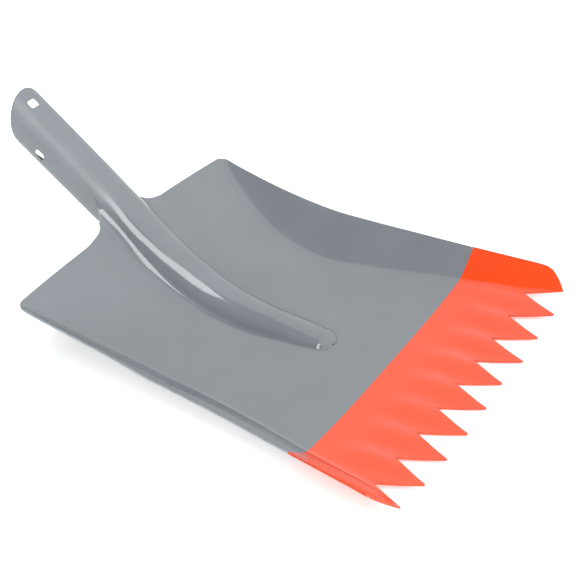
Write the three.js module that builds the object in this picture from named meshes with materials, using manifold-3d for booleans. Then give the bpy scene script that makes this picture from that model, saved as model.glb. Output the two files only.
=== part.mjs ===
// Roofing shovel head: a dished steel blade, a toothed front edge and a rolled handle socket.
//
// Millimetres, +Z up. X runs along the shovel: the teeth are at +X and the socket rises to -X.
// The blade is mirror-symmetric about the XZ plane, and the object stands on its flat underside.
import * as THREE from "three";
import { mergeVertices } from "three/addons/utils/BufferGeometryUtils.js";
import Module from "manifold-3d";

const { clamp, degToRad, lerp, smoothstep } = THREE.MathUtils;

// ---- Driving dimensions -------------------------------------------------------------------

const SHEET = 1.8; // thickness of every pressing
const JOIN_GAP = 0.3; // clearance between touching pieces

// Lengthwise stations, measured from the blade's rear corners.
const FRONT_TIP_X = 311; // tips of the middle teeth
const NOTCH_ROOT_X = 283; // bottoms of the notches
const COLOUR_LINE_X = 230; // where the toothed edge meets the blade
const ORIGIN_X = 207; // the part's own origin, under the flat in front of the spine

// Floor of the blade, seen from the side.
const REAR_RISE = 49; // height of the rear corners over the flat
const RISE_LENGTH = 129; // the floor is flat in front of this station
const REAR_SLOPE = (2 * REAR_RISE) / RISE_LENGTH; // slope of the floor at the rear edge
const DISH_RISE = 4.5; // how far the floor has lifted where the sides begin
const DISH_FLAT = 35; // half-width of the strip that stays flat
const DISH_HALF_WIDTH = 120; // the lift reaches its full value here
const DISH_FROM_X = 30; // the lift grows from nothing here
const DISH_TO_X = 190; // to its full value here

// Turned-up sides: station, half-width at the bend, half-width at the rim, rim height.
const SIDE_STATIONS = [
  [0, 126, 130.5, 0.6],
  [39, 111.5, 128.5, 16],
  [78, 101.5, 128, 24.4],
  [116, 100.5, 130, 25.2],
  [155, 105.5, 133.2, 22.6],
  [194, 112.5, 137.4, 19.8],
  [233, 119.5, 142, 17],
  [320, 129.5, 152.5, 12],
];
const BEND_RUN = 9; // length of the rounded bend on each side of the bend line
const BEND_SHARE = 0.45; // and at most this share of the side's width

// Rear edge.
const REAR_BOW = 3.5; // how far the middle lies behind the corners
const CORNER_RADIUS = 7;
const CORNER_END = 6.9; // the corner's arc stops just short of its quarter turn
const NECK_HALF_WIDTH = 19.5;
const NECK_RUN = 17; // how far the neck's fillets run back
const NECK_REACH = 17; // and how far they reach out to each side

// Teeth.
const TOOTH_COUNT = 10;
const TOOTH_PITCH = 31;
const TIP_WIDTH = 1.6;
const ROOT_RADIUS = 1.3;
const PAST_EDGE = 8; // how far the cuts run past the edges they open
const END_TIP_X = 307.5; // tips of the two outermost teeth
const END_TIP_WIDTH = 4; // and how wide they are there
const END_CUT_X = 292; // where the oblique front ends of the sides start on the rim

// Socket: a tube on a straight axis that runs down into the spine on the blade.
const SOCKET_RADIUS = 19; // outside, at the mouth
const SPINE_RADIUS = 17.8; // outside, at the rear edge
const MOUTH_X = -94; // the station where the socket's own measures along the axis begin
const MOUTH_FACE_X = -91; // the mouth is cut square to the blade, in this plane
const AXIS_SLOPE = 0.72;
const AXIS_HEIGHT = 54; // height of the axis over the rear corners' station
const SKIRT_LENGTH = 97; // the raised skirt beside the spine fades out here
const SKIRT_HALF_WIDTH = 42;
const SKIRT_MIN_SPREAD = 0.05; // share of the skirt's width that is left where it fades out
const SEAM_HALF_ANGLE = 12; // degrees, on the underside
const SEAM_END_X = -40; // the seam starts to widen here
const REAR_END_X = -20; // the tube passes over to the spine's own section from here
const OPEN_X = 30; // and the seam is as wide as the spine from here on
const SEAM_CORNER = 14; // how far the mouth's corners are cut back beside the seam
const SEAM_CORNER_ANGLE = 48; // degrees that those corners span

// Spine on the blade: station, outside height, half-width.
const SPINE_STATIONS = [
  [-30, 18, 18],
  [0, SPINE_RADIUS, 18],
  [54, 17, 18],
  [81, 15, 17],
  [109, 12.6, 16],
  [140, 9.2, 14.8],
  [160, 7, 13.8],
  [172, 5.6, 12.4],
  [179, 4.3, 9.8],
  [183, 3, 6],
  [184.5, 2.2, 2.6],
];
const SPINE_NOSE_X = 184.5;

// Fixing holes in the socket: distance down the axis, angle from the top, length, width.
const FIXING_HOLES = [
  { along: 4, angle: 8, length: 6.6, width: 7.6 },
  { along: 35, angle: 87, length: 9.2, width: 6.6 },
];
const HOLE_CORNER = 1.6;
const HOLE_DEPTH = 16; // depth of the cut, half of it outside the wall

// Enamel colours.
const GREY = 0x8f969b;
const ORANGE = 0xf36a4b;

// ---- Mesh density -------------------------------------------------------------------------

const BLADE_STEPS = { along: 30, across: 46 };
const EDGE_STEPS = { along: 8, across: 44 };
const SOCKET_STEPS = { along: 46, across: 24 };
const BEND_START = 0.66; // shares of the steps across that reach the start and the end of the bend
const BEND_END = 0.86;

// Shares of the steps along the socket and the stations they reach: closest at the neck and the nose.
const SOCKET_ROWS = [
  [0.26, SEAM_END_X],
  [0.5, OPEN_X],
  [0.82, 165],
  [1, SPINE_NOSE_X],
];

// The same for half of the blade's floor, from the centre line: closest over the neck's fillets.
const FLOOR_ROWS = [
  [0, 0],
  [0.13, NECK_HALF_WIDTH],
  [0.36, NECK_HALF_WIDTH + NECK_REACH],
];

// ---- Curves -------------------------------------------------------------------------------

const wasm = await Module();
wasm.setup();

// A smooth curve through rows of numbers, read by the value in the first column.
function stationCurve(rows, column) {
  const last = rows.length - 1;
  const slope = (i) => {
    const before = rows[Math.max(i - 1, 0)];
    const after = rows[Math.min(i + 1, last)];
    return (after[column] - before[column]) / (after[0] - before[0]);
  };
  return (x) => {
    const at = clamp(x, rows[0][0], rows[last][0]);
    let i = 0;
    while (i < last - 1 && at > rows[i + 1][0]) i += 1;
    const span = rows[i + 1][0] - rows[i][0];
    const t = (at - rows[i][0]) / span;
    const start = rows[i][column];
    const end = rows[i + 1][column];
    const startTurn = slope(i) * span;
    const endTurn = slope(i + 1) * span;
    const rise = end - start;
    return start + t * (startTurn + t * (3 * rise - 2 * startTurn - endTurn
      + t * (startTurn + endTurn - 2 * rise)));
  };
}

// Straight lines through rows of [share, value], read by the share.
function readRows(rows, share) {
  let i = 0;
  while (i < rows.length - 2 && share > rows[i + 1][0]) i += 1;
  const [fromShare, from] = rows[i];
  const [toShare, to] = rows[i + 1];
  return lerp(from, to, (share - fromShare) / (toShare - fromShare));
}

const bendHalfWidth = stationCurve(SIDE_STATIONS, 1);
const rimHalfWidth = stationCurve(SIDE_STATIONS, 2);
const rimHeight = stationCurve(SIDE_STATIONS, 3);
const spineHeight = stationCurve(SPINE_STATIONS, 1);
const spineHalfWidth = stationCurve(SPINE_STATIONS, 2);

// Height of the floor's centre line: flat in front, a parabola at the rear, straight behind it.
function floorHeight(x) {
  if (x < 0) return REAR_RISE - REAR_SLOPE * x;
  return REAR_RISE * Math.max(1 - x / RISE_LENGTH, 0) ** 2;
}

// Height of the line that the socket's tube and the spine are built on.
function socketHeight(x) {
  if (x < 0) return AXIS_HEIGHT - AXIS_SLOPE * x;
  const lift = AXIS_HEIGHT - REAR_RISE;
  return floorHeight(x) + lift * Math.max(1 - x / SKIRT_LENGTH, 0) ** 2;
}

// ---- Blade surface ------------------------------------------------------------------------

// The raised skirt that carries the floor up to the foot of the spine.
function skirtLift(x, y) {
  const full = socketHeight(x) - floorHeight(x);
  const inner = spineHalfWidth(x) + 1;
  const spread = SKIRT_HALF_WIDTH - NECK_HALF_WIDTH;
  const outer = inner + spread * Math.max(1 - Math.max(x, 0) / SKIRT_LENGTH, SKIRT_MIN_SPREAD);
  return Math.max(full, 0) * (1 - smoothstep(Math.abs(y), inner, outer));
}

function dishLift(x, y) {
  const growth = smoothstep(x, DISH_FROM_X, DISH_TO_X);
  const reach = Math.max(Math.abs(y) - DISH_FLAT, 0) / (DISH_HALF_WIDTH - DISH_FLAT);
  return DISH_RISE * growth * reach ** 2;
}

// Half of the cross-section at a station: across runs from 0 on the centre line to 1 at the rim.
function crossSection(x, across) {
  const bend = bendHalfWidth(x);
  const rim = rimHalfWidth(x);
  const run = Math.min(BEND_RUN, BEND_SHARE * (rim - bend));
  const floorEnd = bend - run;
  const foot = dishLift(x, bend);
  const slope = rimHeight(x) / (rim - bend);
  if (across <= BEND_START) {
    const y = readRows([...FLOOR_ROWS, [BEND_START, floorEnd]], across);
    return [y, dishLift(x, y)];
  }
  if (across >= BEND_END) {
    const out = run + ((rim - bend - run) * (across - BEND_END)) / (1 - BEND_END);
    return [bend + out, foot + slope * out];
  }
  const t = (across - BEND_START) / (BEND_END - BEND_START);
  const low = dishLift(x, floorEnd);
  const high = foot + slope * run;
  const y = (1 - t) ** 2 * floorEnd + 2 * t * (1 - t) * bend + t ** 2 * (bend + run);
  const z = (1 - t) ** 2 * low + 2 * t * (1 - t) * foot + t ** 2 * high;
  return [y, z];
}

// A point on the upper face of the blade, on the side that the sign of across names.
function bladePoint(x, across) {
  const [y, lift] = crossSection(Math.max(x, 0), Math.abs(across));
  const side = Math.sign(across);
  return new THREE.Vector3(x, side * y, floorHeight(x) + lift + skirtLift(x, y));
}

// The outline of the rear edge: bowed back, with rounded corners and filleted into the neck.
function rearEdge(across) {
  const y = crossSection(0, Math.abs(across))[0];
  const rim = rimHalfWidth(0);
  let x = -REAR_BOW * (1 - (y / rim) ** 2);
  const pastCorner = clamp(y - (rim - CORNER_RADIUS), 0, CORNER_END);
  x += CORNER_RADIUS - Math.sqrt(CORNER_RADIUS ** 2 - pastCorner ** 2);
  const intoNeck = clamp((NECK_HALF_WIDTH + NECK_REACH - y) / NECK_REACH, 0, 1);
  x -= NECK_RUN * (1 - Math.sqrt(1 - intoNeck ** 2));
  return x;
}

// ---- Solids -------------------------------------------------------------------------------

// A sheet of even thickness: a box, whose upper face is laid on surface(u, v), u and v from 0 to 1.
function sheetGeometry(surface, steps) {
  const box = new THREE.BoxGeometry(1, 1, 1, steps.along, steps.across, 1);
  const position = box.getAttribute("position");
  const nudge = 1e-3;
  for (let i = 0; i < position.count; i += 1) {
    const u = position.getX(i) + 0.5;
    const v = position.getY(i) + 0.5;
    const point = surface(u, v);
    if (position.getZ(i) < 0) {
      const alongU = surface(Math.min(u + nudge, 1), v).sub(surface(Math.max(u - nudge, 0), v));
      const alongV = surface(u, Math.min(v + nudge, 1)).sub(surface(u, Math.max(v - nudge, 0)));
      point.addScaledVector(alongU.cross(alongV).normalize(), -SHEET);
    }
    position.setXYZ(i, point.x, point.y, point.z);
  }
  return box;
}

function toSolid(geometry) {
  const bare = geometry.clone();
  bare.deleteAttribute("normal");
  bare.deleteAttribute("uv");
  const merged = mergeVertices(bare, 1e-4);
  const index = merged.index ? merged.index.array : merged.getAttribute("position").array.map((_, i) => i);
  return new wasm.Manifold(new wasm.Mesh({
    numProp: 3,
    vertProperties: new Float32Array(merged.getAttribute("position").array),
    triVerts: new Uint32Array(index),
  }));
}

function toGeometry(solid) {
  const mesh = solid.getMesh();
  const geometry = new THREE.BufferGeometry();
  geometry.setAttribute("position", new THREE.BufferAttribute(new Float32Array(mesh.vertProperties), 3));
  geometry.setIndex(new THREE.BufferAttribute(new Uint32Array(mesh.triVerts), 1));
  const facets = geometry.toNonIndexed();
  facets.computeVertexNormals();
  return facets;
}

// A vertical prism over a plan outline, tall enough to pass through the blade.
function planPrism(shape) {
  const height = 4 * REAR_RISE;
  const prism = new THREE.ExtrudeGeometry(shape, { depth: height, bevelEnabled: false, curveSegments: 6 });
  return prism.translate(0, 0, -height / 2);
}

// ---- Pieces -------------------------------------------------------------------------------

// The gap in the blade that the socket's lower walls and the spine stand in, open at the rear.
function spineSlotGeometry() {
  const edge = [];
  for (let i = 0; i <= SOCKET_STEPS.along; i += 1) {
    const x = readRows([[0, MOUTH_FACE_X], ...SOCKET_ROWS], i / SOCKET_STEPS.along);
    edge.push(new THREE.Vector2(x + JOIN_GAP, socketHalfWidth(x) + JOIN_GAP));
  }
  const mirrored = edge.map((point) => new THREE.Vector2(point.x, -point.y)).reverse();
  return planPrism(new THREE.Shape([...edge, ...mirrored]));
}

function bladeGeometry() {
  const front = COLOUR_LINE_X - JOIN_GAP / 2;
  const sheet = sheetGeometry((u, v) => {
    const across = 2 * v - 1;
    const rear = rearEdge(across);
    return bladePoint(rear + (front - rear) * u, across);
  }, BLADE_STEPS);
  return toGeometry(toSolid(sheet).subtract(toSolid(spineSlotGeometry())));
}

// One notch between two teeth, open to the front.
function notchGeometry(y) {
  const mouth = FRONT_TIP_X + PAST_EDGE;
  const halfMouth = ((TOOTH_PITCH - TIP_WIDTH) / 2) * ((mouth - NOTCH_ROOT_X) / (FRONT_TIP_X - NOTCH_ROOT_X));
  const flank = Math.atan2(halfMouth - ROOT_RADIUS, mouth - NOTCH_ROOT_X);
  const centre = NOTCH_ROOT_X + ROOT_RADIUS;
  const shape = new THREE.Shape();
  shape.moveTo(mouth, y - halfMouth);
  shape.lineTo(mouth, y + halfMouth);
  shape.absarc(centre, y, ROOT_RADIUS, Math.PI / 2 + flank, (3 * Math.PI) / 2 - flank, false);
  return planPrism(shape);
}

// The oblique cut that takes the front end of a side back from the last tooth's tip to the rim.
function endCutGeometry(side) {
  const tip = ((TOOTH_COUNT - 1) / 2) * TOOTH_PITCH + TIP_WIDTH / 2;
  const rim = rimHalfWidth(END_CUT_X);
  const front = FRONT_TIP_X + PAST_EDGE;
  const shape = new THREE.Shape();
  shape.moveTo(front, side * (tip - TOOTH_PITCH / 2));
  shape.lineTo(END_TIP_X, side * (tip - TOOTH_PITCH / 2));
  shape.lineTo(END_TIP_X, side * (tip + END_TIP_WIDTH / 2));
  shape.lineTo(END_CUT_X, side * rim);
  shape.lineTo(END_CUT_X, side * (rim + PAST_EDGE));
  shape.lineTo(front, side * (rim + PAST_EDGE));
  return planPrism(shape);
}

function toothedEdgeGeometry() {
  const rear = COLOUR_LINE_X + JOIN_GAP / 2;
  const strip = sheetGeometry((u, v) => bladePoint(rear + (FRONT_TIP_X - rear) * u, 2 * v - 1), EDGE_STEPS);
  let solid = toSolid(strip);
  for (let i = 1; i < TOOTH_COUNT; i += 1) {
    solid = solid.subtract(toSolid(notchGeometry((i - TOOTH_COUNT / 2) * TOOTH_PITCH)));
  }
  for (const side of [-1, 1]) {
    solid = solid.subtract(toSolid(endCutGeometry(side)));
  }
  return toGeometry(solid);
}

// Unit vector that leans off the socket's line, square to it, at a station.
function socketNormal(x) {
  const step = 0.5;
  const slope = (socketHeight(x + step) - socketHeight(x - step)) / (2 * step);
  return new THREE.Vector3(-slope, 0, 1).normalize();
}

// How far round from the top the tube's wall reaches, in degrees.
function wallAngle(x) {
  const closed = 180 - SEAM_HALF_ANGLE;
  return lerp(closed, 90, smoothstep(x, SEAM_END_X, OPEN_X));
}

// The station of the mouth's edge at an angle from the top: a plane, with corners beside the seam.
function mouthStation(angle, radius) {
  const turn = Math.abs(angle);
  const corner = Math.max(turn - (180 - SEAM_HALF_ANGLE - SEAM_CORNER_ANGLE), 0) / SEAM_CORNER_ANGLE;
  const lean = (radius * Math.cos(degToRad(turn)) * AXIS_SLOPE) / Math.hypot(1, AXIS_SLOPE);
  return MOUTH_FACE_X - lean + SEAM_CORNER * corner ** 2;
}

// Outside radius of the tube: even beyond the mouth's station, then tapering to the rear edge.
function tubeRadius(x) {
  const taper = clamp((x - MOUTH_X) / -MOUTH_X, 0, 1);
  return lerp(SOCKET_RADIUS, SPINE_RADIUS, taper);
}

function socketHalfWidth(x) {
  return lerp(tubeRadius(x), spineHalfWidth(x), smoothstep(x, REAR_END_X, 0));
}

// A point on the wall. The spine's feet reach down to the blade's underside.
function socketPoint(x, angle, inset) {
  const foot = SHEET * smoothstep(x, REAR_END_X, OPEN_X);
  const up = lerp(tubeRadius(x), spineHeight(x), smoothstep(x, REAR_END_X, 0)) + foot - inset;
  const turn = degToRad(angle);
  const point = new THREE.Vector3(x, (socketHalfWidth(x) - inset) * Math.sin(turn), socketHeight(x));
  return point.addScaledVector(socketNormal(x), up * Math.cos(turn) - foot);
}

function socketShell() {
  const box = new THREE.BoxGeometry(1, 1, 1, SOCKET_STEPS.along, SOCKET_STEPS.across, 1);
  const position = box.getAttribute("position");
  for (let i = 0; i < position.count; i += 1) {
    const u = position.getX(i) + 0.5;
    const share = 2 * position.getY(i);
    const inset = position.getZ(i) < 0 ? SHEET : 0;
    const start = mouthStation(share * (180 - SEAM_HALF_ANGLE), SOCKET_RADIUS - inset);
    const x = readRows([[0, start], ...SOCKET_ROWS], u);
    const point = socketPoint(x, share * wallAngle(x), inset);
    position.setXYZ(i, point.x, point.y, point.z);
  }
  return box;
}

function fixingHoleGeometry({ along, angle, length, width }) {
  const shape = new THREE.Shape();
  const a = length / 2;
  const b = width / 2;
  const r = HOLE_CORNER;
  shape.moveTo(-a + r, -b);
  shape.lineTo(a - r, -b);
  shape.absarc(a - r, -b + r, r, -Math.PI / 2, 0, false);
  shape.absarc(a - r, b - r, r, 0, Math.PI / 2, false);
  shape.absarc(-a + r, b - r, r, Math.PI / 2, Math.PI, false);
  shape.absarc(-a + r, -b + r, r, Math.PI, 1.5 * Math.PI, false);
  const plug = new THREE.ExtrudeGeometry(shape, { depth: HOLE_DEPTH, bevelEnabled: false, curveSegments: 3 });
  const x = MOUTH_X + along / Math.hypot(1, AXIS_SLOPE);
  const axis = new THREE.Vector3(1, 0, -AXIS_SLOPE).normalize();
  const turn = degToRad(angle);
  const outward = socketNormal(x).multiplyScalar(Math.cos(turn));
  outward.y = -Math.sin(turn);
  const sideways = new THREE.Vector3().crossVectors(outward, axis);
  const frame = new THREE.Matrix4().makeBasis(axis, sideways, outward);
  const centre = new THREE.Vector3(x, 0, socketHeight(x));
  frame.setPosition(centre.addScaledVector(outward, SOCKET_RADIUS - HOLE_DEPTH / 2));
  return plug.applyMatrix4(frame);
}

function socketGeometry() {
  let solid = toSolid(socketShell());
  for (const hole of FIXING_HOLES) {
    solid = solid.subtract(toSolid(fixingHoleGeometry(hole)));
  }
  return toGeometry(solid);
}

// ---- Assembly -----------------------------------------------------------------------------

function enamel(color) {
  return new THREE.MeshStandardMaterial({ color, roughness: 0.3, metalness: 0.05 });
}

function piece(name, geometry, material) {
  const mesh = new THREE.Mesh(geometry, material);
  mesh.name = name;
  return mesh;
}

const shovel = new THREE.Group();
shovel.add(piece("blade", bladeGeometry(), enamel(GREY)));
shovel.add(piece("toothed_edge", toothedEdgeGeometry(), enamel(ORANGE)));
shovel.add(piece("socket", socketGeometry(), enamel(GREY)));
shovel.position.set(-ORIGIN_X, 0, SHEET);

export default shovel;
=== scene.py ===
"""Roofing shovel head: the visual model, its materials, its floor, lights and camera."""
import math

import bmesh
import bpy
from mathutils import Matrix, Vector


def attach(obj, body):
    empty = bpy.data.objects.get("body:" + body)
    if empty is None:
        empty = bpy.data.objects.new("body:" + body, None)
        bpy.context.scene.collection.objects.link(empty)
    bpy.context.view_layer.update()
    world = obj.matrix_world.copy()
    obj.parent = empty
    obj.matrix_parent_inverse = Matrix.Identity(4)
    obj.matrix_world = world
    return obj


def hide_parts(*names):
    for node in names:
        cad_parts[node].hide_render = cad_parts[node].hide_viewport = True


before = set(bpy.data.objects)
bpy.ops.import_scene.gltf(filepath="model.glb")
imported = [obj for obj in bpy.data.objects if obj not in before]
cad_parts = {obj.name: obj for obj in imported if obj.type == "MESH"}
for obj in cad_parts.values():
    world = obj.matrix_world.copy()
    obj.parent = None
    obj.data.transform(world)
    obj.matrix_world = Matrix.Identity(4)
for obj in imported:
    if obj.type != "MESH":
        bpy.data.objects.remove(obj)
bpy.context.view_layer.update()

# ---- Dimensions, in millimetres from the blade's rear corners and the top of its flat ---------

SHEET = 1.8
SHEET_SEEN = 1.4  # with its paint and its rounded edges the sheet looks this thick
ORIGIN_X = 207.0
COLOUR_LINE_X = 230.0
FRONT_TIP_X = 311.0
NOTCH_ROOT_X = 281.5
TIP_CURL = 1.2  # how far the teeth turn up at their tips

REAR_RISE = 49.0
RISE_LENGTH = 129.0
REAR_SLOPE = 2 * REAR_RISE / RISE_LENGTH
DISH_RISE = 4.5
DISH_FLAT = 35.0
DISH_HALF_WIDTH = 120.0
DISH_FROM_X = 30.0
DISH_TO_X = 190.0

# Station, half-width at the bend, half-width at the rim, rim height.
SIDE_STATIONS = [
    (0, 126, 130.5, 0.6),
    (39, 111.5, 128.5, 16),
    (78, 101.5, 128, 24.4),
    (116, 100.5, 130, 25.2),
    (155, 105.5, 133.2, 22.6),
    (194, 112.5, 137.4, 19.8),
    (233, 120.6, 142, 17),
    (320, 133.5, 152.5, 12),
]
BEND_RUN = 6.5
BEND_SHARE = 0.45
FLOOR_SPREAD = 1.6  # the floor's columns lie closer together near the spine

REAR_BOW = 3.5
CORNER_RADIUS = 7.0
CORNER_END = 6.9
NECK_HALF_WIDTH = 16.7
NECK_RUN = 23.0
NECK_REACH = 17.0

TOOTH_COUNT = 10
TOOTH_PITCH = 31.0
TIP_WIDTH = 1.6
TIP_ROUND = (0.12, 0.5)  # back from the tip, and to its side
TIP_START = 0.5  # the straight flanks stop this far behind the tip
# How far each tooth's tip stands ahead of the others, from the -Y side.
TIP_OFFSETS = (0, -1.2, -0.4, 0.3, 0.1, -1.4, 1.2, 0.2, 0.4, 0)
ROOT_RADIUS = 1.3
ROOT_ROUND = (0.35, 0.36)  # ahead of a notch's bottom, and to its side
END_TIP_ROUND = (0.2, 0.3, 0.9)  # back from the tip, and two steps to its side
FLANK_STEPS = 12
END_STEPS = 18
END_TIP_X = 307.5
END_CUT_X = 288.0
END_CORNER_X = 296.5
RIPPLE = 0.8  # each tooth is twisted a little, and the blade waves behind it
RIPPLE_RISE = (238.0, 268.0)
RIPPLE_FALL = (274.0, 306.0)
RIPPLE_SIDES = (100.0, 130.0)  # it dies out towards the sides

END_DROOP = 3.0
DROOP_FROM_X = 276.0
DROOP_SIDES = (112.0, 134.0)

SOCKET_RADIUS = 19.0
SPINE_RADIUS = 17.8
MOUTH_X = -94.0
MOUTH_FACE_X = -91.0
AXIS_SLOPE = 0.72
AXIS_HEIGHT = 54.0
AXIS_BLEND = (-20.0, 20.0)  # the straight socket turns into the curved spine between these
SKIRT_LENGTH = 97.0
SKIRT_HALF_WIDTH = 42.0
SKIRT_MIN_SPREAD = 0.05
SEAM_HALF_ANGLE = 12.0
SEAM_END_X = -40.0
REAR_END_X = -20.0
OPEN_X = 30.0
SPLIT_FROM_X = -1.5  # the blade and the spine share their rows from here
SEAM_CORNER = 14.0
SEAM_CORNER_ANGLE = 48.0

# Station, outside height, half-width.
SPINE_STATIONS = [
    (-30, 18, 18),
    (0, 17.8, 18),
    (54, 17, 18),
    (81, 15, 17),
    (109, 12.6, 16),
    (140, 9.2, 14.8),
    (160, 7, 13.8),
    (172, 5.6, 12.4),
]
NOSE_X = 172.0  # the spine's rounded end starts here
NOSE_LENGTH = 12.5

# Station, share of the half-width where the spine's wall passes into the blade's flare, share
# where that flare meets the blade's floor in a crease.
FOOT_STATIONS = [
    (-30, 0.9, 1.5),
    (0, 0.93, 1.3),
    (20, 0.955, 1.21),
    (40, 0.975, 1.13),
    (60, 0.98, 1.1),
    (80, 0.982, 1.06),
    (100, 0.98, 1.035),
    (172, 0.975, 1.035),
]
FOOT_FADE = (-26.0, -12.0)  # the socket's round walls come to stand on the blade between these
FLOOR_START = 0.3  # ahead of the nose the blade's floor starts this close to the middle
FLARE_TURN = 0.4  # 1 runs the flare out flat, 0 leaves it straight

# Distance down the axis, angle from the top, length, width.
FIXING_HOLES = [(4, 8, 7.0, 8.0), (35, 95, 8.4, 7.0)]
HOLE_CORNER = 1.6
DENT_DEPTH = 0.13
SMALL_DENT_DEPTH = 0.03
DENT_FADE = (30.0, 90.0)

MM = 0.001


# ---- Curves -----------------------------------------------------------------------------------


def clamp(value, low, high):
    return max(low, min(high, value))


def lerp(a, b, t):
    return a + (b - a) * t


def smoothstep(value, low, high):
    t = clamp((value - low) / (high - low), 0.0, 1.0)
    return t * t * (3 - 2 * t)


def station_curve(rows, column):
    """A smooth curve through rows of numbers, read by the value in the first column."""
    last = len(rows) - 1

    def slope(i):
        before, after = rows[max(i - 1, 0)], rows[min(i + 1, last)]
        return (after[column] - before[column]) / (after[0] - before[0])

    def read(x):
        at = clamp(x, rows[0][0], rows[last][0])
        i = 0
        while i < last - 1 and at > rows[i + 1][0]:
            i += 1
        span = rows[i + 1][0] - rows[i][0]
        t = (at - rows[i][0]) / span
        start, end = rows[i][column], rows[i + 1][column]
        turn_a, turn_b = slope(i) * span, slope(i + 1) * span
        rise = end - start
        square = 3 * rise - 2 * turn_a - turn_b
        cube = turn_a + turn_b - 2 * rise
        return start + t * (turn_a + t * (square + t * cube))

    return read


bend_half_width = station_curve(SIDE_STATIONS, 1)
rim_half_width = station_curve(SIDE_STATIONS, 2)
rim_height = station_curve(SIDE_STATIONS, 3)
spine_height = station_curve(SPINE_STATIONS, 1)
spine_half_width = station_curve(SPINE_STATIONS, 2)
foot_join = station_curve(FOOT_STATIONS, 1)
foot_end = station_curve(FOOT_STATIONS, 2)


def floor_height(x):
    if x < 0:
        return REAR_RISE - REAR_SLOPE * x
    curl = TIP_CURL * (max(x - NOTCH_ROOT_X, 0) / (FRONT_TIP_X - NOTCH_ROOT_X)) ** 2
    return REAR_RISE * max(1 - x / RISE_LENGTH, 0) ** 2 + curl


def socket_height(x):
    straight = AXIS_HEIGHT - AXIS_SLOPE * x
    lift = AXIS_HEIGHT - REAR_RISE
    over_blade = floor_height(x) + lift * max(1 - x / SKIRT_LENGTH, 0) ** 2
    return lerp(straight, over_blade, smoothstep(x, *AXIS_BLEND))


def socket_normal(x):
    step = 0.5
    slope = (socket_height(x + step) - socket_height(x - step)) / (2 * step)
    return Vector((-slope, 0, 1)).normalized()


def tube_radius(x):
    taper = clamp((x - MOUTH_X) / -MOUTH_X, 0, 1)
    return lerp(SOCKET_RADIUS, SPINE_RADIUS, taper)


def half_width(x):
    return lerp(tube_radius(x), spine_half_width(x), smoothstep(x, REAR_END_X, 0))


def wall_height(x):
    return lerp(tube_radius(x), spine_height(x), smoothstep(x, REAR_END_X, 0))


def foot_profile(x, rho):
    """Height of the spine over its foot, as a share: an arch that runs out in a short flare."""
    join, end = foot_join(x), foot_end(x)
    if rho <= join:
        return math.sqrt(1 - rho * rho)
    if rho >= end:
        return 0.0
    top = math.sqrt(1 - join**2)
    bend, bend_top = join + FLARE_TURN * top * top / join, top * (1 - FLARE_TURN)
    a = join - 2 * bend + end
    b = 2 * (bend - join)
    c = join - rho
    t = (-b + math.sqrt(max(b * b - 4 * a * c, 0))) / (2 * a)
    return (1 - t) ** 2 * top + 2 * t * (1 - t) * bend_top


def tube_profile(rho):
    return math.sqrt(max(1 - rho * rho, 0))


def spine_rise(x, rho):
    """Height of the socket's or the spine's wall over its line, off the centre by rho half-widths."""
    past = max(x - NOSE_X, 0) / NOSE_LENGTH
    reach = math.hypot(rho, past)
    on_blade = smoothstep(x, *FOOT_FADE)
    return wall_height(x) * lerp(tube_profile(reach), foot_profile(x, reach), on_blade)


def join_share(x):
    """Where the spine's piece ends and the blade's begins, in half-widths from the centre line."""
    past = max(x - NOSE_X, 0) / NOSE_LENGTH
    return math.sqrt(max(foot_join(x) ** 2 - past**2, 0))


def end_share(x):
    """Where the flare ends and the blade's floor begins."""
    past = max(x - NOSE_X, 0) / NOSE_LENGTH
    return math.sqrt(max(foot_end(x) ** 2 - past**2, FLOOR_START**2))


def split_angle(x):
    return math.degrees(math.asin(foot_join(x)))


# ---- Surfaces: each takes a station and a place across, and gives a point ---------------------


def skirt_lift(x, y):
    full = max(socket_height(x) - floor_height(x), 0)
    inner = spine_half_width(x) * foot_end(x)
    spread = (SKIRT_HALF_WIDTH - NECK_HALF_WIDTH) * max(1 - max(x, 0) / SKIRT_LENGTH, SKIRT_MIN_SPREAD)
    return full * (1 - smoothstep(abs(y), inner, inner + spread))


def dish_lift(x, y):
    growth = smoothstep(x, DISH_FROM_X, DISH_TO_X)
    reach = max(abs(y) - DISH_FLAT, 0) / (DISH_HALF_WIDTH - DISH_FLAT)
    return DISH_RISE * growth * reach**2


def end_droop(x, y):
    """The outermost teeth bend down a little."""
    past = max(x - DROOP_FROM_X, 0) / (END_TIP_X - DROOP_FROM_X)
    return END_DROOP * past**2 * smoothstep(abs(y), *DROOP_SIDES)


def ripple(x, y):
    fade = smoothstep(x, *RIPPLE_RISE) * (1 - smoothstep(x, *RIPPLE_FALL))
    fade *= 1 - smoothstep(abs(y), *RIPPLE_SIDES)
    return RIPPLE * fade * (1 - math.sin(2 * math.pi * y / TOOTH_PITCH))


def cross_section(x, across):
    """Half of the blade's section. across runs over the foot, floor, bend and side, one unit each."""
    s = max(x, 0)
    bend, rim = bend_half_width(s), rim_half_width(s)
    run = min(BEND_RUN, BEND_SHARE * (rim - bend))
    floor_end, foot = bend - run, dish_lift(s, bend)
    slope = rim_height(s) / (rim - bend)
    width = half_width(x)
    if across <= 1:
        return lerp(join_share(x), end_share(x), across) * width, 0.0
    if across <= 2:
        y = lerp(end_share(x) * width, floor_end, (across - 1) ** FLOOR_SPREAD)
        return y, dish_lift(s, y)
    if across >= 3:
        out = lerp(run, rim - bend, across - 3)
        return bend + out, foot + slope * out
    t = across - 2
    low, high = dish_lift(s, floor_end), foot + slope * run
    y = (1 - t) ** 2 * floor_end + 2 * t * (1 - t) * bend + t**2 * (bend + run)
    z = (1 - t) ** 2 * low + 2 * t * (1 - t) * foot + t**2 * high
    return y, z


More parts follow.
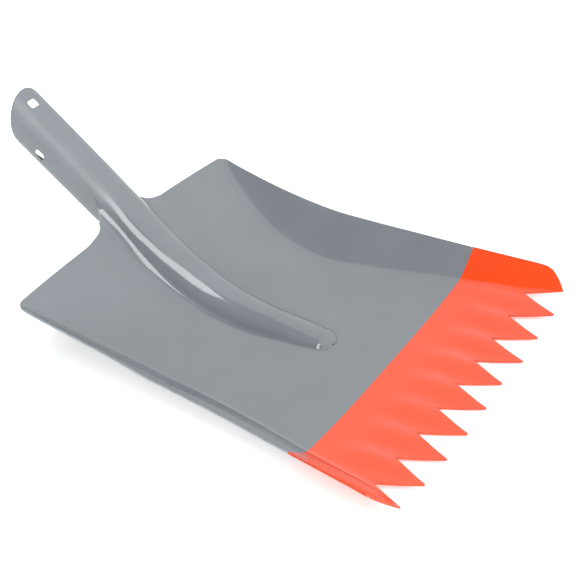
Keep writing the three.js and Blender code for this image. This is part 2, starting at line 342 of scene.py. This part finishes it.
def blade_surface(x, across):
    y, lift = cross_section(x, abs(across))
    y = math.copysign(y, across)
    height = floor_height(x) + lift + skirt_lift(x, y) + ripple(x, y) - end_droop(x, y)
    point = Vector((x, y, height))
    if abs(across) < 2:
        rho = abs(y) / half_width(x)
        if rho < foot_end(x):
            point += socket_normal(x) * spine_rise(x, rho)
    return point


def wall_angle(x):
    return lerp(180 - SEAM_HALF_ANGLE, split_angle(x) + 2, smoothstep(x, SEAM_END_X, OPEN_X))


def dent(x, turn):
    """The rolled socket is a little uneven, in long shallow facets."""
    fade = 1 - smoothstep(x, *DENT_FADE)
    drift = 0.7 * math.sin(x / 31 + 0.6)
    facets = math.sin(3.1 * turn + drift) * math.cos(x / 27 + 1.1 * turn)
    small = math.sin(x / 7.3 + 2.6 * turn) * math.sin(6.3 * turn + 0.9 * math.sin(x / 12))
    return fade * (DENT_DEPTH * facets + SMALL_DENT_DEPTH * small)


def socket_surface(x, across):
    """across is up to 1 on the arch, and up to 2 on the walls that close the tube below."""
    side, reach = math.copysign(1, across), abs(across)
    base = Vector((x, 0, socket_height(x)))
    if reach <= 1:
        turn = math.radians(split_angle(x)) * reach
        rho = math.sin(turn) * join_share(x) / foot_join(x)
        y, rise = half_width(x) * rho, spine_rise(x, rho)
    else:
        turn = math.radians(lerp(split_angle(x), wall_angle(x), reach - 1))
        y, rise = half_width(x) * math.sin(turn), wall_height(x) * math.cos(turn)
    scale = 1 + dent(x, side * turn) / SOCKET_RADIUS
    base.y = side * y * scale
    return base + socket_normal(x) * rise * scale


def normal_at(surface, x, across, low, high):
    step = 0.02
    before, after = clamp(across - step, low, high), clamp(across + step, low, high)
    along = surface(x + step, across) - surface(x - step, across)
    sideways = surface(x, after) - surface(x, before)
    normal = along.cross(sideways)
    if normal.length < 1e-9:
        return socket_normal(x)
    return normal.normalized()


# ---- Sheets -----------------------------------------------------------------------------------

EDGE_TURNS = (90, 55, 20, -20, -55, -90)  # degrees round the rounded edge of a sheet
EDGE_BULGE = 0.5


def column_of_points(top, bottom, outward):
    """The points from a sheet's top to its bottom, round its edge."""
    middle, half = (top + bottom) / 2, (top - bottom) / 2
    points = []
    for turn in EDGE_TURNS:
        a = math.radians(turn)
        inset = EDGE_BULGE * half.length * (1 - math.cos(a))
        points.append(middle + half * math.sin(a) - outward * inset)
    return points


def to_row(point):
    return Vector((point.x - ORIGIN_X, point.y, point.z + SHEET)) * MM


def grid_quads(ids, kept):
    """The quads of a grid of vertex numbers. Corners that fall together make triangles."""
    quads = []
    for i in range(len(ids) - 1):
        for j in range(len(ids[0]) - 1):
            ring = []
            for key in (ids[i][j], ids[i + 1][j], ids[i + 1][j + 1], ids[i][j + 1]):
                if key not in ring:
                    ring.append(key)
            if len(ring) > 2 and kept(i, j):
                quads.append(ring)
    return quads


def open_edges(quads):
    """The edges that only one quad uses, in that quad's direction."""
    used = {}
    for ring in quads:
        for a, b in zip(ring, ring[1:] + ring[:1]):
            used[(a, b)] = True
    return [edge for edge in used if (edge[1], edge[0]) not in used]


def outward_directions(edges, tops, normals):
    """The direction away from the sheet at each point of its outline."""
    outward = {}
    for a, b in edges:
        away = (tops[b] - tops[a]).cross(normals[a]).normalized()
        for key in (a, b):
            outward[key] = outward.get(key, Vector()) + away
    return {key: value.normalized() for key, value in outward.items()}


def sheet_piece(name, surface, grid, kept, joined, span):
    """A closed sheet on a surface. grid holds rows of (x, across), and joined(a, b) says that an
    edge between two grid places meets another sheet and so stays square."""
    low, high = span
    tops, normals, places, known, ids = [], [], [], {}, []
    for row in grid:
        line = []
        for x, across in row:
            point = surface(x, across)
            key = (round(point.x, 3), round(point.y, 3), round(point.z, 3))
            if key not in known:
                known[key] = len(tops)
                tops.append(point)
                side = (0, high) if across > 0 else (low, 0)
                normals.append(normal_at(surface, x, across, *side))
                places.append((x, across))
            line.append(known[key])
        ids.append(line)
    quads = grid_quads(ids, kept)
    edges = open_edges(quads)
    free = [e for e in edges if not joined(places[e[0]], places[e[1]])]
    outward = outward_directions(free, tops, normals)
    mesh = bpy.data.meshes.new(name)
    bm = bmesh.new()
    edge_wear_and_painted_light = bm.verts.layers.float.new("edge_wear_and_painted_light")
    inner = bm.verts.layers.float.new("inner")
    used = sorted({key for ring in quads for key in ring})
    upper, lower, rims = {}, {}, {}
    rim_keys = {key for edge in edges for key in edge}
    for key in used:
        if key not in rim_keys:
            upper[key] = bm.verts.new(to_row(tops[key]))
            lower[key] = bm.verts.new(to_row(tops[key] - normals[key] * SHEET_SEEN))
    for key in sorted(rim_keys):
        bottom = tops[key] - normals[key] * SHEET_SEEN
        column = column_of_points(tops[key], bottom, outward.get(key, Vector()))
        rims[key] = [bm.verts.new(to_row(point)) for point in column]
        # Free edges get the edge colour: partly wear, partly painted light (a painted highlight on the
        # grey, painted shade on the orange).
        for vertex in rims[key][1:-1]:
            vertex[edge_wear_and_painted_light] = 1.0 if key in outward else 0.0
        upper[key], lower[key] = rims[key][0], rims[key][-1]
    # The inner mask marks every sheet's underside; on the socket, painted shade goes there, near black.
    for vertex in lower.values():
        vertex[inner] = 1.0
    square = []
    for ring in quads:
        bm.faces.new([upper[key] for key in ring])
        bm.faces.new([lower[key] for key in reversed(ring)])
    for a, b in edges:
        for k in range(len(EDGE_TURNS) - 1):
            bm.faces.new((rims[b][k], rims[a][k], rims[a][k + 1], rims[b][k + 1]))
        if joined(places[a], places[b]):
            square += [(upper[a], upper[b]), (lower[a], lower[b])]
    for face in bm.faces:
        face.smooth = True
    for a, b in square:
        edge = bm.edges.get((a, b))
        edge.smooth = False
    bmesh.ops.recalc_face_normals(bm, faces=bm.faces)
    bm.to_mesh(mesh)
    bm.free()
    piece = bpy.data.objects.new(name, mesh)
    bpy.context.scene.collection.objects.link(piece)
    return piece


def spread(stops):
    """Evenly spaced values between stops of (value, steps to the next stop)."""
    values = []
    for (start, steps), (end, _) in zip(stops, stops[1:]):
        values += [lerp(start, end, k / steps) for k in range(steps)]
    return values + [stops[-1][0]]


# ---- Blade ------------------------------------------------------------------------------------


def rear_edge(y):
    rim = rim_half_width(0)
    x = -REAR_BOW * (1 - (y / rim) ** 2)
    past_corner = clamp(y - (rim - CORNER_RADIUS), 0, CORNER_END)
    x += CORNER_RADIUS - math.sqrt(CORNER_RADIUS**2 - past_corner**2)
    into_neck = clamp((NECK_HALF_WIDTH + NECK_REACH - y) / NECK_REACH, 0, 1)
    return x - NECK_RUN * (1 - math.sqrt(1 - into_neck**2))


NOSE_REACH = FOOT_STATIONS[-1][1] * NOSE_LENGTH
NOSE_STEPS = 18
NOSE_TURNS = [math.radians(k * 90 / NOSE_STEPS) for k in range(1, NOSE_STEPS + 1)]
NOSE_ROWS = [NOSE_X + NOSE_REACH * math.sin(turn) for turn in NOSE_TURNS]
NOSE_END_X = NOSE_ROWS[-1]
SEAM_ROWS = 40
FINE_TO_X = 150
SPINE_ROWS = spread([(SEAM_END_X, SEAM_ROWS), (OPEN_X, 60), (FINE_TO_X, 14), (NOSE_X, 0)]) + NOSE_ROWS
REAR_X = rear_edge(cross_section(0, 0)[0])
BLADE_STATIONS = spread([(REAR_X, 22), (SPLIT_FROM_X, 0)])[:-1]
BLADE_STATIONS += [x for x in SPINE_ROWS if x > SPLIT_FROM_X - 0.01]
BLADE_STATIONS += spread([(NOSE_END_X, 16), (COLOUR_LINE_X, 0)])[1:]
BLADE_ROWS = [(x - REAR_X) / (COLOUR_LINE_X - REAR_X) for x in BLADE_STATIONS]
HALF_COLUMNS = spread([(0, 14), (1, 44), (2, 14), (3, 8), (4, 0)])


def make_blade():
    columns = [-c for c in reversed(HALF_COLUMNS)] + HALF_COLUMNS
    middle = len(HALF_COLUMNS) - 1
    tiny = 1e-9
    columns[middle], columns[middle + 1] = -tiny, tiny
    grid = []
    for share in BLADE_ROWS:
        row = []
        for across in columns:
            rear = rear_edge(cross_section(0, abs(across))[0])
            row.append((lerp(rear, COLOUR_LINE_X, share), across))
        grid.append(row)

    def kept(i, j):
        return j != middle

    def joined(a, b):
        at_front = min(a[0], b[0]) > COLOUR_LINE_X - 0.01
        at_spine = max(abs(a[1]), abs(b[1])) < 1e-6
        return at_front or at_spine

    return sheet_piece("blade_sheet", blade_surface, grid, kept, joined, (-4, 4))


# ---- Toothed edge -----------------------------------------------------------------------------


def across_at(x, y):
    """The place across that has this y at a station."""
    low, high = 0.0, 4.0
    for _ in range(40):
        middle = (low + high) / 2
        if cross_section(x, middle)[0] < abs(y):
            low = middle
        else:
            high = middle
    return math.copysign((low + high) / 2, y)


def flank(x):
    """Half the width of a notch at a station."""
    return (TOOTH_PITCH - TIP_WIDTH) / 2 * (x - NOTCH_ROOT_X) / (FRONT_TIP_X - NOTCH_ROOT_X)


def tip_offset(x, y):
    tooth = clamp(int(math.floor(y / TOOTH_PITCH)) + TOOTH_COUNT // 2, 0, TOOTH_COUNT - 1)
    return TIP_OFFSETS[tooth] * max(x - NOTCH_ROOT_X, 0) / (FRONT_TIP_X - NOTCH_ROOT_X)


def half_outline():
    """The front outline from the centre line out to one rim, as (x, y)."""
    root_x = NOTCH_ROOT_X + ROOT_RADIUS
    ahead, beside = NOTCH_ROOT_X + ROOT_ROUND[0], ROOT_ROUND[1]
    points = [(NOTCH_ROOT_X, 0.0), (ahead, beside)]
    for number in range(TOOTH_COUNT // 2):
        notch, tooth = number * TOOTH_PITCH, (number + 0.5) * TOOTH_PITCH
        last = number == TOOTH_COUNT // 2 - 1
        tip_x = END_TIP_X if last else FRONT_TIP_X
        flank_xs = [lerp(root_x, tip_x - TIP_START, k / (FLANK_STEPS - 1)) for k in range(FLANK_STEPS)]
        points += [(x, notch + flank(x)) for x in flank_xs]
        if last:
            break
        back, side = tip_x - TIP_ROUND[0], TIP_ROUND[1]
        points += [(back, tooth - side), (tip_x, tooth), (back, tooth + side)]
        points += [(x, notch + TOOTH_PITCH - flank(x)) for x in reversed(flank_xs)]
        following = notch + TOOTH_PITCH
        points += [(ahead, following - beside), (NOTCH_ROOT_X, following), (ahead, following + beside)]
    tip = notch + flank(END_TIP_X)
    back, near, far = END_TIP_ROUND
    start = (END_TIP_X - back, tip + far)
    corner = (END_CORNER_X, rim_half_width(END_CORNER_X))
    end = (END_CUT_X, rim_half_width(END_CUT_X))
    points += [(END_TIP_X, tip + near), start]
    for k in range(1, END_STEPS + 1):
        t = k / END_STEPS
        a, b, c = (1 - t) ** 2, 2 * t * (1 - t), t * t
        points.append(tuple(a * p + b * q + c * r for p, q, r in zip(start, corner, end)))
    return points


EDGE_ROWS = spread([(0, 20), (0.65, 22), (1, 0)])


def make_toothed_edge():
    outline = half_outline()
    outline = [(x, -y) for x, y in reversed(outline[1:])] + outline
    outline = [(x + tip_offset(x, y), y) for x, y in outline]
    fronts = [(x, across_at(x, y)) for x, y in outline]
    grid = [[(lerp(COLOUR_LINE_X, x, share), across) for x, across in fronts] for share in EDGE_ROWS]

    def joined(a, b):
        return max(a[0], b[0]) < COLOUR_LINE_X + 0.01

    return sheet_piece("toothed_edge_sheet", blade_surface, grid, lambda i, j: True, joined, (-4, 4))


# ---- Socket and spine -------------------------------------------------------------------------


def mouth_station(angle):
    turn = abs(angle)
    corner = max(turn - (180 - SEAM_HALF_ANGLE - SEAM_CORNER_ANGLE), 0) / SEAM_CORNER_ANGLE
    lean = SOCKET_RADIUS * math.cos(math.radians(turn)) * AXIS_SLOPE / math.hypot(1, AXIS_SLOPE)
    return MOUTH_FACE_X - lean + SEAM_CORNER * corner**2


def column_angle(across, x):
    reach = abs(across)
    if reach <= 1:
        return split_angle(x) * reach
    return lerp(split_angle(x), wall_angle(x), reach - 1)


def hole_distance(hole, x, angle):
    """Signed distance to a hole's rounded outline, with the place in the hole's own axes."""
    down, turned, length, width = hole
    along = (x - MOUTH_X) * math.hypot(1, AXIS_SLOPE) - down
    round_it = math.radians(angle - turned) * SOCKET_RADIUS
    qx, qy = abs(along) - (length / 2 - HOLE_CORNER), abs(round_it) - (width / 2 - HOLE_CORNER)
    outside = math.hypot(max(qx, 0), max(qy, 0))
    return outside + min(max(qx, qy), 0) - HOLE_CORNER


def snap_to_hole(hole, x, angle):
    """Moves a place on the tube onto a hole's outline."""
    for _ in range(6):
        step = 0.05
        turn_step = math.degrees(step / SOCKET_RADIUS)
        x_step = step / math.hypot(1, AXIS_SLOPE)
        here = hole_distance(hole, x, angle)
        along = (hole_distance(hole, x + x_step, angle) - here) / step
        sideways = (hole_distance(hole, x, angle + turn_step) - here) / step
        size = max(math.hypot(along, sideways), 1e-3)
        x -= here * along / size * x_step / step
        angle -= here * sideways / size * turn_step / step
    return x, angle


def across_of_angle(angle, x):
    turn, split = abs(angle), split_angle(x)
    if turn <= split:
        reach = turn / split
    else:
        reach = 1 + (turn - split) / (wall_angle(x) - split)
    return -math.copysign(reach, angle)


TUBE_ROWS = 52
ARCH_COLUMNS = spread([(0, 32), (1, 0)])
WALL_COLUMNS = spread([(1, 34), (2, 0)])[1:]


def make_socket():
    half = ARCH_COLUMNS + WALL_COLUMNS
    columns = [-c for c in reversed(half[1:])] + half
    grid = []
    for i in range(TUBE_ROWS):
        row = []
        for across in columns:
            start = mouth_station(column_angle(across, MOUTH_X))
            row.append((lerp(start, SEAM_END_X, i / TUBE_ROWS), across))
        grid.append(row)
    grid += [[(x, across) for across in columns] for x in SPINE_ROWS]

    cut = set()
    for hole in FIXING_HOLES:
        inside = set()
        for i in range(TUBE_ROWS):
            for j in range(len(columns) - 1):
                corners = [grid[i][j], grid[i + 1][j], grid[i + 1][j + 1], grid[i][j + 1]]
                x = sum(c[0] for c in corners) / 4
                across = sum(c[1] for c in corners) / 4
                angle = -math.copysign(column_angle(across, x), across)
                if hole_distance(hole, x, angle) < 0:
                    inside.add((i, j))
        edge_places = set()
        for i, j in inside:
            for di, dj in ((0, 0), (1, 0), (1, 1), (0, 1)):
                around = [(i + di - a, j + dj - b) for a in (0, 1) for b in (0, 1)]
                if not all(place in inside for place in around):
                    edge_places.add((i + di, j + dj))
        for i, j in edge_places:
            x, across = grid[i][j]
            angle = -math.copysign(column_angle(across, x), across)
            x, angle = snap_to_hole(hole, x, angle)
            grid[i][j] = (x, across_of_angle(angle, x))
        cut |= inside

    wall = len(WALL_COLUMNS)
    open_row = TUBE_ROWS + SEAM_ROWS

    def kept(i, j):
        on_arch = wall <= j < len(columns) - 1 - wall
        return (i, j) not in cut and (on_arch or i < open_row)

    def joined(a, b):
        on_split = abs(abs(a[1]) - 1) < 1e-6 and abs(abs(b[1]) - 1) < 1e-6
        at_nose = min(a[0], b[0]) > NOSE_END_X - 0.01
        return at_nose or (on_split and min(a[0], b[0]) >= OPEN_X - 0.01)

    return sheet_piece("socket_and_spine", socket_surface, grid, kept, joined, (-2, 2))


# ---- Materials --------------------------------------------------------------------------------

GREY_LIGHT = (0.184, 0.202, 0.221)
GREY_DARK = (0.172, 0.189, 0.206)
# Edge colour, partly wear and partly a painted highlight: the grey sheet edges are painted lighter.
GREY_EDGE_WEAR_AND_HIGHLIGHT = (0.34, 0.36, 0.38)
ORANGE_LIGHT = (0.8, 0.07, 0.014)
ORANGE_DARK = (0.77, 0.066, 0.014)
# Edge colour, partly wear and partly painted shade: the orange cut edges of the teeth are painted dark
# brown.
ORANGE_EDGE_WEAR_AND_SHADE = (0.5, 0.11, 0.07)
SOCKET_INSIDE_SHADE = (0.016, 0.015, 0.014)  # painted shade: the inside of the socket and the underside of the spine, near black

GLOSS = (0.06, 0.12)
DULL = (0.45, 0.58)
DULL_TO = (-0.235, -0.197)  # the socket is duller than the spine; it turns glossy between these, in metres
COAT_WEIGHT = 0.1
COAT_ROUGHNESS = 0.08
COAT_IOR = 1.5
SPECULAR = 0.5

# Noise scale and detail.
CLOUDS = (22.0, 4.0)
CHIPS = (140.0, 3.0)
SMUDGES = (35.0, 6.0)
WAVES = (28.0, 1.0)
PEEL = (900.0, 2.0)

WAVE_STRENGTH = 0.5
PEEL_STRENGTH = 0.12
PEEL_DEPTH = 0.00004

FLOOR_TONE = (0.93, 0.93, 0.93)
FLOOR_GLOW = 0.38
FLOOR_ROUGHNESS = 0.9
FLOOR_SPECULAR = 0.1


def noise_map(tree, place, kind):
    scale, detail = kind
    noise = tree.nodes.new("ShaderNodeTexNoise")
    noise.inputs["Scale"].default_value = scale
    noise.inputs["Detail"].default_value = detail
    tree.links.new(place.outputs["Object"], noise.inputs["Vector"])
    return noise.outputs["Fac"]


def attribute(tree, name):
    node = tree.nodes.new("ShaderNodeAttribute")
    node.attribute_name = name
    return node.outputs["Fac"]


def mix_colours(tree, share, first, second):
    """A blend from the first colour, a socket, to the second, a constant."""
    mix = tree.nodes.new("ShaderNodeMix")
    mix.data_type = "RGBA"
    tree.links.new(share, mix.inputs[0])
    tree.links.new(first, mix.inputs[6])
    mix.inputs[7].default_value = (*second, 1)
    return mix.outputs[2]


def map_range(tree, value, to_range):
    node = tree.nodes.new("ShaderNodeMapRange")
    node.inputs["To Min"].default_value = to_range[0]
    node.inputs["To Max"].default_value = to_range[1]
    tree.links.new(value, node.inputs["Value"])
    return node.outputs["Result"]


def dull_to_glossy(tree, place, dull, gloss):
    """Dull at the socket's mouth, glossy along the spine."""
    along = tree.nodes.new("ShaderNodeSeparateXYZ")
    tree.links.new(place.outputs["Object"], along.inputs["Vector"])
    share = tree.nodes.new("ShaderNodeMapRange")
    share.interpolation_type = "SMOOTHSTEP"
    share.inputs["From Min"].default_value = DULL_TO[0]
    share.inputs["From Max"].default_value = DULL_TO[1]
    tree.links.new(along.outputs["X"], share.inputs["Value"])
    finish = tree.nodes.new("ShaderNodeMix")
    finish.data_type = "FLOAT"
    tree.links.new(share.outputs["Result"], finish.inputs[0])
    tree.links.new(dull, finish.inputs[2])
    tree.links.new(gloss, finish.inputs[3])
    return finish.outputs[0]


def bump(tree, height, strength, distance):
    node = tree.nodes.new("ShaderNodeBump")
    node.inputs["Strength"].default_value = strength
    node.inputs["Distance"].default_value = distance
    tree.links.new(height, node.inputs["Height"])
    return node


def enamel(name, light, dark, edge, mottle, waviness, dull_socket_and_inside_shade=False):
    """Stove enamel on pressed steel: two close tones, fine orange peel, long waves, and a patchy edge
    colour on the sheet's edges that is partly wear and partly painted light; for the socket, the sheet's
    inner side is painted near black as painted shade.
    """
    material = bpy.data.materials.new(name)
    material.use_nodes = True
    tree = material.node_tree
    shader = tree.nodes["Principled BSDF"]
    shader.inputs["Metallic"].default_value = 0.0
    shader.inputs["Specular IOR Level"].default_value = SPECULAR
    shader.inputs["Coat Weight"].default_value = COAT_WEIGHT
    shader.inputs["Coat Roughness"].default_value = COAT_ROUGHNESS
    shader.inputs["Coat IOR"].default_value = COAT_IOR

    place = tree.nodes.new("ShaderNodeTexCoord")
    tones = tree.nodes.new("ShaderNodeValToRGB")
    tones.color_ramp.elements[0].position = 0.5 - mottle
    tones.color_ramp.elements[0].color = (*dark, 1)
    tones.color_ramp.elements[1].position = 0.5 + mottle
    tones.color_ramp.elements[1].color = (*light, 1)
    tree.links.new(noise_map(tree, place, CLOUDS), tones.inputs["Fac"])
    # The sheet edges take the edge colour in patches: partly wear, partly painted light.
    amount = tree.nodes.new("ShaderNodeMath")
    amount.operation = "MULTIPLY"
    tree.links.new(attribute(tree, "edge_wear_and_painted_light"), amount.inputs[0])
    tree.links.new(noise_map(tree, place, CHIPS), amount.inputs[1])
    colour = mix_colours(tree, amount.outputs[0], tones.outputs["Color"], edge)
    smudges = noise_map(tree, place, SMUDGES)
    roughness = map_range(tree, smudges, GLOSS)
    if dull_socket_and_inside_shade:
        # Painted shade: the socket's inner side, inside the tube and under the spine, is painted near
        # black.
        colour = mix_colours(tree, attribute(tree, "inner"), colour, SOCKET_INSIDE_SHADE)
        roughness = dull_to_glossy(tree, place, map_range(tree, smudges, DULL), roughness)
    tree.links.new(colour, shader.inputs["Base Color"])
    tree.links.new(roughness, shader.inputs["Roughness"])

    long_bump = bump(tree, noise_map(tree, place, WAVES), WAVE_STRENGTH, waviness)
    fine_bump = bump(tree, noise_map(tree, place, PEEL), PEEL_STRENGTH, PEEL_DEPTH)
    tree.links.new(long_bump.outputs["Normal"], fine_bump.inputs["Normal"])
    tree.links.new(fine_bump.outputs["Normal"], shader.inputs["Normal"])
    tree.links.new(long_bump.outputs["Normal"], shader.inputs["Coat Normal"])
    return material


def floor_material():
    material = bpy.data.materials.new("studio_floor")
    material.use_nodes = True
    shader = material.node_tree.nodes["Principled BSDF"]
    shader.inputs["Base Color"].default_value = (*FLOOR_TONE, 1)
    shader.inputs["Emission Color"].default_value = (1, 1, 1, 1)
    shader.inputs["Emission Strength"].default_value = FLOOR_GLOW
    shader.inputs["Roughness"].default_value = FLOOR_ROUGHNESS
    shader.inputs["Specular IOR Level"].default_value = FLOOR_SPECULAR
    return material


# ---- Stage, lights and camera -----------------------------------------------------------------

# Angles are in degrees, lengths in metres.
WALL_AZIMUTH = 40
WALL_FADE = (-0.1, 0.02)
WALL_GLOW = 1.25
ROOM_GLOW = 0.03

LIT_POINT = (-0.05, 0.0, 0.03)
STRIP_AZIMUTH = -77
STRIP_ELEVATION = 38
STRIP_DISTANCE = 2.2
STRIP_WIDTH = 0.62
STRIP_LENGTH = 3.0
STRIP_POWER = 46
FILL_PLACE = (0.0, 0.3, 3.0)
FILL_SIZE = 3.0
FILL_POWER = 20

FLOOR_HALF_SIZE = 6.0

CAMERA_PLACE = (0.3407, -0.65095, 0.54123)
CAMERA_TURNS = (56.6719, 0.9856, 31.1203)
CAMERA_LENS = 78.18
CAMERA_SENSOR = 36.0


def make_floor():
    half = FLOOR_HALF_SIZE
    mesh = bpy.data.meshes.new("studio_floor")
    corners = [(-half, -half, 0.0), (half, -half, 0.0), (half, half, 0.0), (-half, half, 0.0)]
    mesh.from_pydata(corners, [], [(0, 1, 2, 3)])
    floor = bpy.data.objects.new("studio_floor", mesh)
    bpy.context.scene.collection.objects.link(floor)
    mesh.materials.append(floor_material())


def area_light(name, location, target, width, height, power):
    data = bpy.data.lights.new(name, "AREA")
    data.shape = "RECTANGLE"
    data.size, data.size_y = width, height
    data.energy = power
    light = bpy.data.objects.new(name, data)
    bpy.context.scene.collection.objects.link(light)
    light.location = location
    light.rotation_mode = "QUATERNION"
    light.rotation_quaternion = (Vector(location) - Vector(target)).to_track_quat("Z", "Y")
    return light


def make_world():
    """A white wall behind the piece and to its front, and a dark room on the other side."""
    world = bpy.data.worlds.new("studio")
    bpy.context.scene.world = world
    world.use_nodes = True
    nodes, links = world.node_tree.nodes, world.node_tree.links
    direction = nodes.new("ShaderNodeTexCoord")
    facing = nodes.new("ShaderNodeVectorMath")
    facing.operation = "DOT_PRODUCT"
    wall = math.radians(WALL_AZIMUTH)
    facing.inputs[1].default_value = (math.cos(wall), math.sin(wall), 0)
    links.new(direction.outputs["Generated"], facing.inputs[0])
    fade = nodes.new("ShaderNodeMapRange")
    fade.interpolation_type = "SMOOTHSTEP"
    fade.inputs["From Min"].default_value = WALL_FADE[0]
    fade.inputs["From Max"].default_value = WALL_FADE[1]
    fade.inputs["To Min"].default_value = ROOM_GLOW
    fade.inputs["To Max"].default_value = WALL_GLOW
    links.new(facing.outputs["Value"], fade.inputs["Value"])
    background = nodes["Background"]
    background.inputs["Color"].default_value = (1, 1, 1, 1)
    links.new(fade.outputs["Result"], background.inputs["Strength"])


def make_lights():
    middle = Vector(LIT_POINT)
    turn, rise = math.radians(STRIP_AZIMUTH), math.radians(STRIP_ELEVATION)
    out = Vector((math.cos(rise) * math.cos(turn), math.cos(rise) * math.sin(turn), math.sin(rise)))
    place = middle + out * STRIP_DISTANCE
    area_light("strip_softbox", place, middle, STRIP_WIDTH, STRIP_LENGTH, STRIP_POWER)
    fill = area_light("fill_from_above", FILL_PLACE, middle, FILL_SIZE, FILL_SIZE, FILL_POWER)
    fill.visible_glossy = False


def make_camera():
    data = bpy.data.cameras.new("camera")
    data.sensor_width = CAMERA_SENSOR
    data.lens = CAMERA_LENS
    camera = bpy.data.objects.new("camera", data)
    bpy.context.scene.collection.objects.link(camera)
    camera.location = CAMERA_PLACE
    camera.rotation_euler = [math.radians(a) for a in CAMERA_TURNS]
    bpy.context.scene.camera = camera


# ---- Assembly ---------------------------------------------------------------------------------


def place_piece(piece, node, material):
    piece.data.materials.append(material)
    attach(piece, "root")
    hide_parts(node)


make_camera()
make_world()
make_lights()
make_floor()

bpy.context.scene.view_settings.view_transform = "Standard"

grey = enamel("grey_enamel", GREY_LIGHT, GREY_DARK, GREY_EDGE_WEAR_AND_HIGHLIGHT, mottle=0.2, waviness=0.00015)
orange = enamel("orange_enamel", ORANGE_LIGHT, ORANGE_DARK, ORANGE_EDGE_WEAR_AND_SHADE, mottle=0.2, waviness=0.00025)
socket_grey = enamel(
    "socket_enamel", GREY_LIGHT, GREY_DARK, GREY_EDGE_WEAR_AND_HIGHLIGHT, mottle=0.1, waviness=0.0004, dull_socket_and_inside_shade=True
)

place_piece(make_blade(), "blade", grey)
place_piece(make_toothed_edge(), "toothed_edge", orange)
place_piece(make_socket(), "socket", socket_grey)
